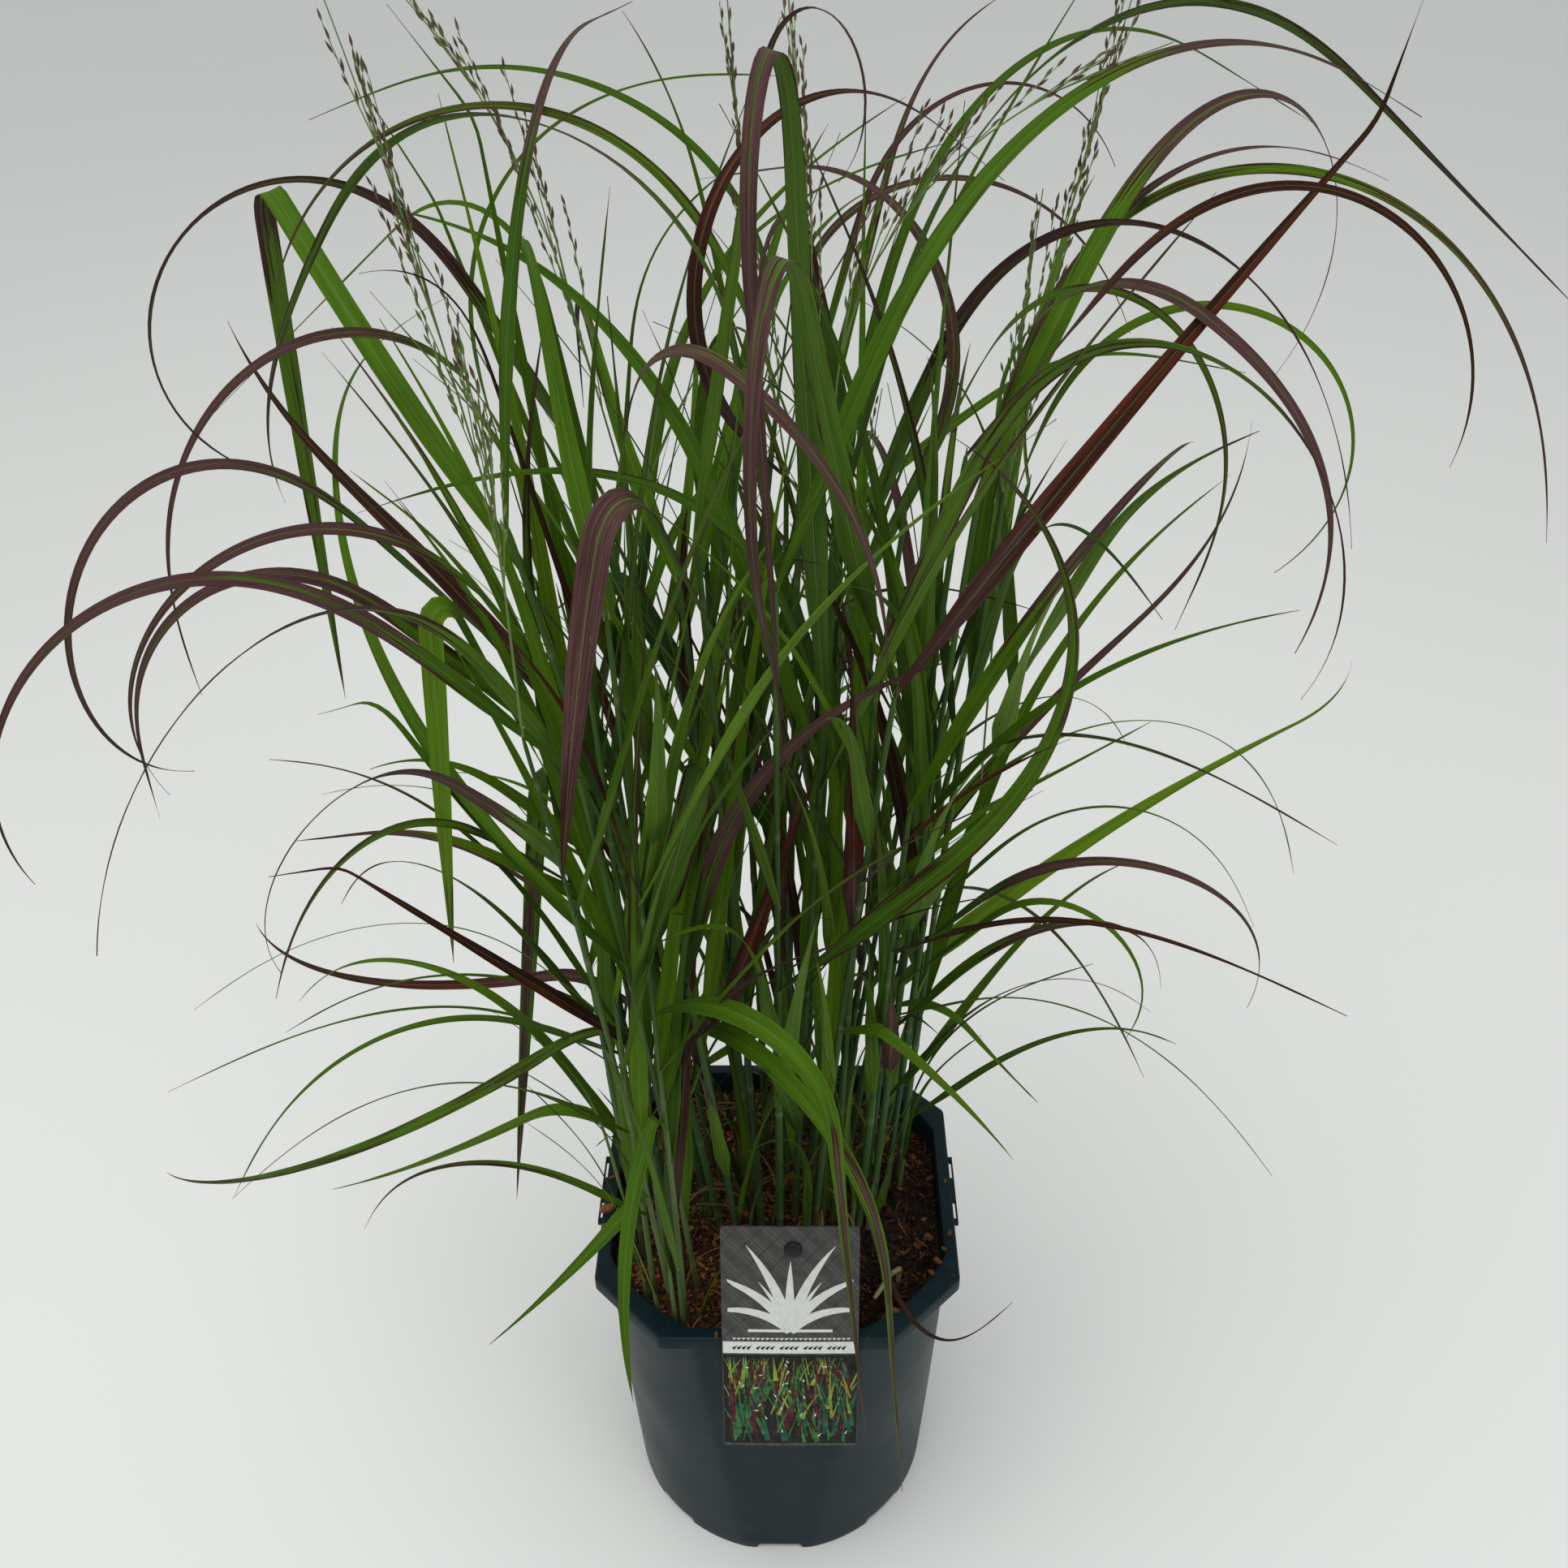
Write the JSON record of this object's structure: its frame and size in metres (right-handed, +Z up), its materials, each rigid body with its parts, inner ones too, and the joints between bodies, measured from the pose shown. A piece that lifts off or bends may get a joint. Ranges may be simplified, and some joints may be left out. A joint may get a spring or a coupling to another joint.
{
  "type": "potted ornamental grass",
  "caption": "Clump of switchgrass with arching green and wine-red blades and narrow panicles, growing in an octagonal nursery pot with a plant label on a stake.",
  "frame": {"origin": "middle of the pot's foot, on the surface the pot stands on", "axes": "+Z up along the pot and the clump; -Y toward the front, where the label hangs; +X to the right of the front"},
  "size_m": [0.7683, 0.5406, 0.8177],
  "materials": {
    "foliage": "satin",
    "straw": "matte",
    "pot_plastic": "satin",
    "potting_mix": "matte",
    "card_face": "gloss",
    "stake_plastic": "satin"
  },
  "bodies": {
    "root": {"stem_01": "foliage", "stem_02": "foliage", "stem_03": "foliage", "stem_04": "foliage", "stem_05": "foliage", "stem_06": "foliage", "stem_07": "foliage", "stem_08": "foliage", "stem_09": "foliage", "stem_10": "foliage", "stem_11": "foliage", "stem_12": "foliage", "stem_13": "foliage", "stem_14": "foliage", "stem_15": "foliage", "stem_16": "foliage", "stem_17": "foliage", "stem_18": "foliage", "stem_19": "foliage", "stem_20": "foliage", "stem_21": "foliage", "stem_22": "foliage", "stem_23": "foliage", "stem_24": "foliage", "stem_25": "foliage", "stem_26": "foliage", "stem_27": "foliage", "stem_28": "foliage", "stem_29": "foliage", "stem_30": "foliage", "stem_31": "foliage", "stem_32": "foliage", "stem_33": "foliage", "stem_34": "foliage", "stem_35": "foliage", "stem_36": "foliage", "stem_37": "foliage", "stem_38": "foliage", "stem_39": "foliage", "stem_40": "foliage", "stem_41": "foliage", "stem_42": "foliage", "stem_43": "foliage", "dry_stalk": "straw", "cut_stub": "straw", "pot": "pot_plastic", "soil": "potting_mix", "label_card": "card_face", "label_stake": "stake_plastic"}
  },
  "joints": []
}
